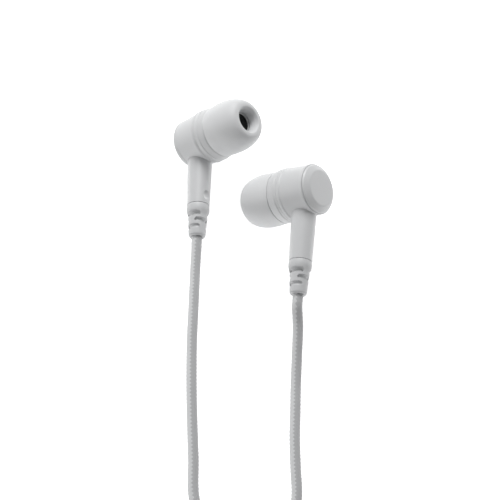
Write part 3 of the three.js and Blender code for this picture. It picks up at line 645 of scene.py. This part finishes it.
staggered = add_node(grille_tree, "GeometryNodeSetPosition",
                     links={"Geometry": grid.outputs["Mesh"], "Offset": offset.outputs[0]})
place = add_node(grille_tree, "GeometryNodeInputPosition")
far = add_node(grille_tree, "ShaderNodeVectorMath", links={0: place.outputs[0]}, operation="LENGTH")
inside = add_node(grille_tree, "ShaderNodeMath", links={0: given["Radius"], 1: half_pitch.outputs[0]},
                  operation="SUBTRACT")
outside = add_node(grille_tree, "FunctionNodeCompare",
                   links={0: far.outputs["Value"], 1: inside.outputs[0]},
                   operation="GREATER_THAN")
disc = add_node(grille_tree, "GeometryNodeDeleteGeometry",
                links={"Geometry": staggered.outputs[0], "Selection": outside.outputs[0]})
cell_radius = add_node(grille_tree, "ShaderNodeMath", {1: 1 / sqrt(3)}, {0: given["Pitch"]},
                       operation="MULTIPLY")
cell = add_node(grille_tree, "GeometryNodeCurvePrimitiveCircle", {"Resolution": 6},
                {"Radius": cell_radius.outputs[0]})
bar_radius = add_node(grille_tree, "ShaderNodeMath", {1: 0.5}, {0: given["Bar"]}, operation="MULTIPLY")
bar = add_node(grille_tree, "GeometryNodeCurvePrimitiveCircle", {"Resolution": 5},
               {"Radius": bar_radius.outputs[0]})
frame_ring = add_node(grille_tree, "GeometryNodeCurveToMesh",
                      links={"Curve": cell.outputs[0], "Profile Curve": bar.outputs[0]})
copies = add_node(grille_tree, "GeometryNodeInstanceOnPoints", {"Rotation": (0, 0, radians(30))},
                  {"Points": disc.outputs[0], "Instance": frame_ring.outputs[0]})
real = add_node(grille_tree, "GeometryNodeRealizeInstances", links={0: copies.outputs[0]})
painted = add_node(grille_tree, "GeometryNodeSetMaterial",
                   links={"Geometry": real.outputs[0], "Material": given["Finish"]})
add_node(grille_tree, "NodeGroupOutput", links={"Geometry": painted.outputs[0]})

# Black painted steel: deep black with a slight sheen on its bars
black_paint, tree, shader = start_material("black_painted_steel", Roughness=0.5, IOR=1.5)
add_skin(tree, shader, "161616", "101010", mottle=0.5, grain=0.08, depth=0.004)
grille_place = 13.62
for side, bud in buds.items():
    maker = bpy.data.objects.new("grille_maker", bpy.data.meshes.new("grille_maker"))
    bpy.context.collection.objects.link(maker)
    nodes = maker.modifiers.new("grille", "NODES")
    nodes.node_group = grille_tree
    for item in grille_tree.interface.items_tree:
        if item.in_out == "INPUT":
            nodes[item.identifier] = sizes.get(item.name, black_paint)
    made = bpy.data.meshes.new_from_object(maker.evaluated_get(bpy.context.evaluated_depsgraph_get()))
    # The tree works flat, and the grille faces along x
    bars = np.array([vertex.co for vertex in made.vertices])
    bars = np.column_stack([bars[:, 2] + grille_place, bars[:, 0], bars[:, 1]])
    honeycomb = (bars, [tuple(polygon.vertices) for polygon in made.polygons])
    bpy.data.objects.remove(maker)
    rim = turned([(13.5, 2.02, 0.02), (13.5, 2.35, 0.04), (13.75, 2.35, 0.04), (13.75, 2.1, 0.05)],
                 sides=64)
    cloth = turned([(13.42, 0, 0), (13.42, 2.2, 0), (13.5, 2.2, 0), (13.5, 0, 0)], sides=48)
    grille = solid_piece(f"{side}_honeycomb_grille", honeycomb, rim, cloth, matrix=bud["matrix"])
    fit_piece(grille, "earphones", black_paint, "nozzle_mesh", f"{side}_nozzle_mesh")

# ---------------------------------------------------------------- cord slider
# A small rubber block with two bores grips both branch cords by friction. It slides towards the
# earbuds to keep the cords together.
bore_play = 0.12
branch_bore, pair_x, pair_height = branch_radius + bore_play, 1.7, 2.4


def rounded_bar(sections, corner, centre, steps=8):
    """Skin along y over rounded rectangles given as [y, width, height], about a centre."""
    rings = []
    for y, width, height in sections:
        radius = min(corner, width / 2 - 0.01, height / 2 - 0.01)
        ring = []
        for quadrant, (sx, sz) in enumerate(((1, 1), (-1, 1), (-1, -1), (1, -1))):
            for step in range(steps + 1):
                angle = (quadrant + step / steps) * pi / 2
                ring.append((
                    centre[0] + sx * (width / 2 - radius) + radius * cos(angle), centre[1] + y,
                    centre[2] + sz * (height / 2 - radius) + radius * sin(angle),
                ))
        rings.append(np.array(ring))
    return loft(rings, closed=False)


def soft_ends(length, width, height, edge, steps=5):
    """Sections of a bar whose two ends are rounded over."""
    sections = []
    for end in (-1, 1):
        for step in range(steps + 1):
            angle = (pi / 2 * step / steps) if end < 0 else (pi / 2 * (1 - step / steps))
            inset = edge * (1 - sin(angle))
            along = end * (length / 2 - edge * (1 - cos(angle)))
            sections.append((along, width - 2 * inset, height - 2 * inset))
    return sections


def bore(y0, y1, x, z, radius):
    """Round tool along y from y0 to y1 that cuts a bore."""
    vertices, faces = turned([(y0, 0, 0), (y0, radius, 0), (y1, radius, 0), (y1, 0, 0)], "y", 48)
    return solid_piece("bore", (vertices + (x, 0, z), faces))


slider_y, slider_length, slider_width, slider_height = -118.0, 11.0, 8.0, 4.6
slider_edge, slider_corner = 0.5, 1.9
slider = solid_piece("pair_slider_block", rounded_bar(
    soft_ends(slider_length, slider_width, slider_height, slider_edge), slider_corner,
    (0, slider_y, pair_height),
))
reach = slider_length / 2 + 1.5
cut_from(slider, *[
    bore(slider_y - reach, slider_y + reach, x, pair_height, branch_bore) for x in (-pair_x, pair_x)
])
fit_piece(slider, "slider", rubber, "slider_rubber", "cable_slider")

# ---------------------------------------------------------------- splitter
# The splitter is two moulded half shells, snapped together over a clamp that holds the knotted
# cords. Both branch cords enter its upper end, and the main cord leaves the lower one.
shell_plastic, tree, shader = start_material("matt_moulded_splitter_abs", Roughness=0.45, IOR=1.53)
add_skin(tree, shader, "c8c9ca", "c2c3c4", mottle=4.0, grain=0.18, depth=0.006, gloss=(0.4, 0.5))
splitter_length, splitter_width, splitter_height, splitter_z = 24.0, 7.6, 5.0, 3.6
splitter_edge, splitter_corner = 0.7, 2.0
pocket_half, pocket_width, pocket_height, pocket_corner = 4.3, 5.0, 3.0, 0.3
parting_gap = 0.1
for half, below in (("lower", 1), ("upper", -1)):
    shell = solid_piece(f"splitter_{half}_half", rounded_bar(
        soft_ends(splitter_length, splitter_width, splitter_height, splitter_edge), splitter_corner,
        (0, hank_y, splitter_z),
    ))
    block = 20  # large enough to take away the whole other half
    away = rounded_bar([(-block, block, block), (block, block, block)], 0.1,
                       (0, hank_y, splitter_z + below * (block / 2 - parting_gap / 2)), 2)
    pocket = rounded_bar(
        [(y, pocket_width, pocket_height) for y in (-pocket_half, pocket_half)],
        pocket_corner, (0, hank_y, splitter_z), 3,
    )
    reach = splitter_length / 2 + 2
    cut_from(
        shell, solid_piece("away", away), solid_piece("pocket", pocket),
        *[bore(hank_y, hank_y + reach, x, splitter_z, branch_bore) for x in (-pair_x, pair_x)],
        bore(hank_y - reach, hank_y, 0, splitter_z, main_radius + bore_play),
    )
    fit_piece(shell, "earphones", shell_plastic, "splitter_shell", f"splitter_{half}_shell")

# ---------------------------------------------------------------- tie
# A moulded silicone strap closes round the middle of the hank. It is one closed band with three
# low ribs for grip, and the stud that would fasten it stands on top.
tie_width, tie_wall, tie_corner = 8.0, 0.75, 0.9
tie_inner = (34.2, 8.1)  # width and height of the opening
tie_centre = (0, hank_y, 4.85)
rib_places, rib_foot, rib_crest, rib_height = (2.1, 0, -2.1), 0.5, 0.2, 0.2


def strap_shape():
    """Band with a ribbed cross section, swept round the opening."""
    edge = tie_width / 2
    corners = [(-edge, 0, 0.2), (edge, 0, 0.2), (edge, tie_wall, 0.3)]
    for y in rib_places:
        corners += [
            (y + rib_foot, tie_wall, 0.1), (y + rib_crest, tie_wall + rib_height, 0.12),
            (y - rib_crest, tie_wall + rib_height, 0.12), (y - rib_foot, tie_wall, 0.1),
        ]
    corners.append((-edge, tie_wall, 0.3))
    section = rounded(corners, True, 3)
    rings = []
    for y, out in section:
        width, height = tie_inner[0] + 2 * out, tie_inner[1] + 2 * out
        rings.append(rounded_bar([(y, width, height)], tie_corner + out, tie_centre, 10)[0])
    return loft(rings, closed=True)


tie_stud = turned([
    (8.7, 0, 0), (8.7, 1.7, 0.2), (9.75, 1.7, 0.1), (9.75, 2.2, 0.25), (10.35, 1.9, 0.3), (10.45, 0, 0),
], "z", 48)
strap = solid_piece("hank_strap", strap_shape(), (tie_stud[0] + (0, hank_y, 0), tie_stud[1]))
fit_piece(strap, "earphones", silicone, "tie_band", "hank_tie")

# ---------------------------------------------------------------- plug
# A 3.5 mm stereo plug: a rubber relief, a moulded barrel, and a turned brass shaft, gold-plated,
# whose sleeve, ring and tip contacts are parted by black insulating rings.
plug_place = Matrix.Translation((-22.6, -187.0, 3.6))
plug_relief = [
    (0, 1.5, 0.1), (0, 1.85, 0.3), (1.6, 1.95, 0.1), (1.8, 1.65, 0.1), (2.3, 1.66, 0.1),
    (2.5, 2.02, 0.1), (4.1, 2.1, 0.1), (4.3, 1.75, 0.1), (4.8, 1.76, 0.1), (5.0, 2.16, 0.1),
    (6.6, 2.22, 0.1), (6.8, 1.85, 0.1), (7.3, 1.86, 0.1), (7.5, 2.26, 0.1), (12.2, 2.42, 0.05),
    (12.2, 2.0, 0), (14.5, 2.0, 0.1), (14.5, 0.6, 0.1), (3.2, 0.6, 0.1), (3.2, 1.5, 0.1),
]
plug_barrel = [
    (12.3, 2.1, 0), (12.3, 3.0, 0.2), (12.9, 3.5, 0.35), (20.0, 3.5, 0.1), (20.15, 3.4, 0.05),
    (20.5, 3.4, 0.05), (20.65, 3.5, 0.1), (24.9, 3.5, 0.35), (25.3, 3.0, 0.15), (25.3, 1.2, 0.05),
    (24.4, 1.2, 0), (24.4, 2.6, 0.1), (13.2, 2.6, 0.1), (13.2, 2.1, 0),
]
# Gold-plated brass: a warm mirror with the fine rings of the lathe
gold, tree, shader = start_material("gold_plated_brass", Metallic=1.0, Roughness=0.22)
place = add_node(tree, "ShaderNodeTexCoord").outputs["Object"]
lathe = add_node(tree, "ShaderNodeTexWave", {"Scale": 1 / (20 * 0.12 * mm), "Distortion": 0.0},
                 {"Vector": place}, bands_direction="Y")
wear = add_node(tree, "ShaderNodeTexNoise", {"Scale": 1 / (1.5 * mm), "Detail": 4.0}, {"Vector": place})
tone = add_node(tree, "ShaderNodeMix", {"A": colour("e6c26a"), "B": colour("c99f4c")},
                {"Factor": wear.outputs[0]},
                data_type="RGBA")
rough = add_node(tree, "ShaderNodeMapRange", {"To Min": 0.16, "To Max": 0.34}, {"Value": wear.outputs[0]})
bump = add_node(tree, "ShaderNodeBump", {"Strength": 0.2, "Distance": 0.003 * mm},
                {"Height": lathe.outputs["Fac"]})
for output, socket in ((tone.outputs["Result"], "Base Color"), (rough.outputs[0], "Roughness"),
                       (bump.outputs[0], "Normal")):
    tree.links.new(output, shader.inputs[socket])
# Black nylon: moulded, dull, a little uneven
nylon, tree, shader = start_material("black_nylon", Roughness=0.55, IOR=1.53)
add_skin(tree, shader, "232426", "1a1b1c", mottle=1.5, grain=0.12, depth=0.004, gloss=(0.45, 0.6))
plug_pieces = {
    "plug_ribbed_relief": (plug_relief, rubber, "relief_rubber", "plug_strain_relief"),
    "plug_moulded_barrel": (plug_barrel, stem_gloss, "plug_barrel", "plug_barrel"),
    "plug_sleeve": ([(25.6, 1.2, 0), (25.6, 1.75, 0.05), (31.6, 1.75, 0.06), (31.6, 1.2, 0)],
                    gold, "plug_contact", "plug_sleeve_contact"),
    "plug_ring": ([(32.8, 1.2, 0), (32.8, 1.75, 0.06), (34.7, 1.75, 0.06), (34.7, 1.2, 0)],
                  gold, "plug_contact", "plug_ring_contact"),
    "plug_tip": ([(35.9, 0, 0), (35.9, 1.75, 0.08), (36.2, 1.75, 0.1), (37.1, 1.18, 0.4), (37.7, 1.55, 0.6),
                  (38.2, 1.6, 0.5), (39.7, 0.55, 0.3), (39.9, 0.2, 0), (39.9, 0, 0)],
                 gold, "plug_contact", "plug_tip_contact"),
    "plug_insulating_rings": ([
        (21.7, 0, 0), (21.7, 0.85, 0), (31.72, 0.85, 0), (31.72, 1.72, 0.04), (32.68, 1.72, 0.04),
        (32.68, 0.85, 0), (34.82, 0.85, 0), (34.82, 1.72, 0.04), (35.78, 1.72, 0.04), (35.78, 0, 0),
    ], nylon, "plug_insulator", "plug_insulator"),
}
for name, (outline, finish, slot, node) in plug_pieces.items():
    fit_piece(solid_piece(name, turned(outline, "y"), matrix=plug_place), "earphones", finish, slot, node)

# ---------------------------------------------------------------- inner parts
# Inside each head a dynamic driver is built up from a yoke, a magnet, a top plate, a voice coil
# and a film diaphragm in a nylon frame, with a terminal board behind it and a foam ring in front.


def metal_finish(name, light, dark, roughness, grain):
    """Bare or plated metal, with a fine grain in its gloss."""
    material, tree, shader = start_material(name, Metallic=1.0, Roughness=roughness)
    add_skin(tree, shader, light, dark, mottle=1.0, grain=grain, depth=0.002,
             gloss=(roughness - 0.06, roughness + 0.08))
    return material


# Enamelled copper: a wound coil, one turn every tenth of a millimetre, drawn as fine bands
wire_pitch = 0.1
copper, tree, shader = start_material("enamelled_copper_wire", Metallic=1.0, Roughness=0.3)
place = add_node(tree, "ShaderNodeTexCoord").outputs["Object"]
turns = add_node(tree, "ShaderNodeTexWave", {"Scale": 1 / (20 * wire_pitch * mm)}, {"Vector": place})
bump = add_node(tree, "ShaderNodeBump", {"Strength": 0.6, "Distance": 0.02 * mm},
                {"Height": turns.outputs["Fac"]})
tree.links.new(bump.outputs[0], shader.inputs["Normal"])
enamel = add_node(tree, "ShaderNodeTexNoise", {"Scale": 1 / (0.6 * mm)}, {"Vector": place})
tone = add_node(tree, "ShaderNodeMix", {"A": colour("c4703f"), "B": colour("9c5128")},
                {"Factor": enamel.outputs[0]}, data_type="RGBA")
tree.links.new(tone.outputs["Result"], shader.inputs["Base Color"])
# Polymer film: thin amber sheet with a silky shine
film, tree, shader = start_material("amber_polymer_film", Roughness=0.25, IOR=1.6, Coat_Weight=0.3)
add_skin(tree, shader, "c0914c", "a97a3a", mottle=1.2, grain=0.3, depth=0.01, gloss=(0.2, 0.35))
# Foam: open cells, dark and dull
foam, tree, shader = start_material("open_cell_foam", Roughness=0.95, IOR=1.4)
add_skin(tree, shader, "2a2a2b", "161617", mottle=0.3, grain=0.12, depth=0.06)
# Solder mask: green lacquer over glass fibre, glossy and a little uneven
mask, tree, shader = start_material("solder_mask_on_glass_fibre", Roughness=0.35, IOR=1.55, Coat_Weight=0.4)
add_skin(tree, shader, "235f41", "1a4e34", mottle=0.8, grain=0.2, depth=0.006, gloss=(0.3, 0.45))
inner_finishes = {
    "driver_yoke": metal_finish("zinc_plated_steel", "a5a5a2", "8d8d8b", 0.34, 0.1),
    "driver_top_plate": metal_finish("rolled_steel", "9b9b9a", "848483", 0.3, 0.08),
    "driver_magnet": metal_finish("nickel_plated_magnet", "8b8c90", "6f7073", 0.24, 0.15),
    "driver_frame": nylon, "voice_coil": copper, "diaphragm": film, "front_gasket": foam,
    "terminal_board": mask, "inner_cord": rubber,
}
carried = {f"{side}_{node}": finish for side in buds for node, finish in inner_finishes.items()}
carried |= {"splitter_clamp": nylon, "plug_terminal_block": nylon}
for node, finish in carried.items():
    for material_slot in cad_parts[node].material_slots:
        material_slot.material = finish
